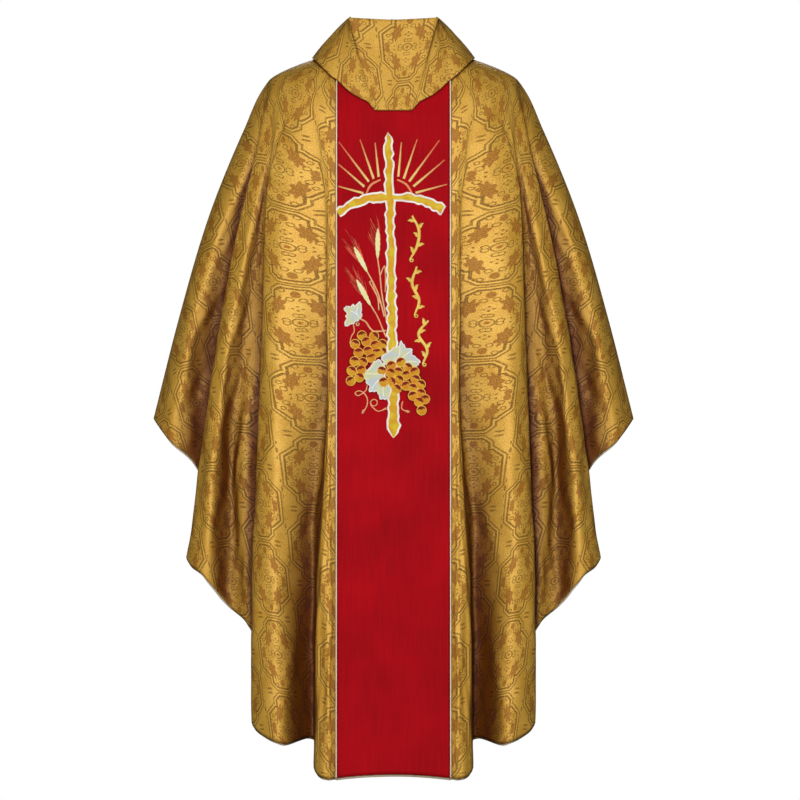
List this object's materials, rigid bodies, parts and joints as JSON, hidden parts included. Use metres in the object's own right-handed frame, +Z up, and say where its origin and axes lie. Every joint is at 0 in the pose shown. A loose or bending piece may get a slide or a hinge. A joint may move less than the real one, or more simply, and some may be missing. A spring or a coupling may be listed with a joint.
{
  "type": "chasuble",
  "caption": "Wide gold damask vestment that hangs over the shoulders, with a stand-and-fall collar and a red embroidered centre band front and back.",
  "frame": {"origin": "midway between the two neck points of the shoulder seams, where the vestment rests on the wearer's shoulders", "axes": "+X is to the right when looking at the front, the front faces -Y, +Z is up"},
  "size_m": [0.831, 0.3779, 1.3086],
  "materials": {
    "gold_damask": "gold metallic-thread damask with a bronze figure, soft sheen",
    "red_crepe": "matt red woven crepe",
    "cream_lining": "matt cream lining satin",
    "piping": "cream satin bias piping",
    "interfacing_canvas": "plain woven collar canvas",
    "white_thread": "white satin stitch",
    "gold_thread": "bright gold satin stitch",
    "wheat_thread": "pale straw-yellow satin stitch",
    "stem_thread": "orange-brown satin stitch",
    "grape_thread": "old-gold satin stitch",
    "leaf_thread": "grey-white satin stitch"
  },
  "bodies": {
    "root": {"back_cross_border": "white_thread", "back_cross_fill": "gold_thread", "back_hem_facing": "cream_lining", "back_left_panel": "gold_damask", "back_left_piping": "piping", "back_lining": "cream_lining", "back_orphrey": "red_crepe", "back_right_panel": "gold_damask", "back_right_piping": "piping", "collar_fall": "gold_damask", "collar_interfacing": "interfacing_canvas", "collar_stand": "gold_damask", "cross_border": "white_thread", "cross_fill": "gold_thread", "front_hem_facing": "cream_lining", "front_left_panel": "gold_damask", "front_left_piping": "piping", "front_lining": "cream_lining", "front_orphrey": "red_crepe", "front_right_panel": "gold_damask", "front_right_piping": "piping", "grapes_left": "grape_thread", "grapes_right": "grape_thread", "lower_leaf": "leaf_thread", "small_leaf": "leaf_thread", "sprig_1": "gold_thread", "sprig_2": "gold_thread", "sprig_3": "gold_thread", "sun_arc_left": "gold_thread", "sun_arc_right": "gold_thread", "sun_ray_1": "gold_thread", "sun_ray_10": "gold_thread", "sun_ray_2": "gold_thread", "sun_ray_3": "gold_thread", "sun_ray_4": "gold_thread", "sun_ray_5": "gold_thread", "sun_ray_6": "gold_thread", "sun_ray_7": "gold_thread", "sun_ray_8": "gold_thread", "sun_ray_9": "gold_thread", "tendril_left": "gold_thread", "tendril_middle": "gold_thread", "tendril_right": "gold_thread", "upper_leaf": "leaf_thread", "vine_stalk": "stem_thread", "wheat_ear_1": "wheat_thread", "wheat_ear_2": "wheat_thread", "wheat_ear_3": "wheat_thread", "wheat_stems": "stem_thread"}
  },
  "joints": []
}
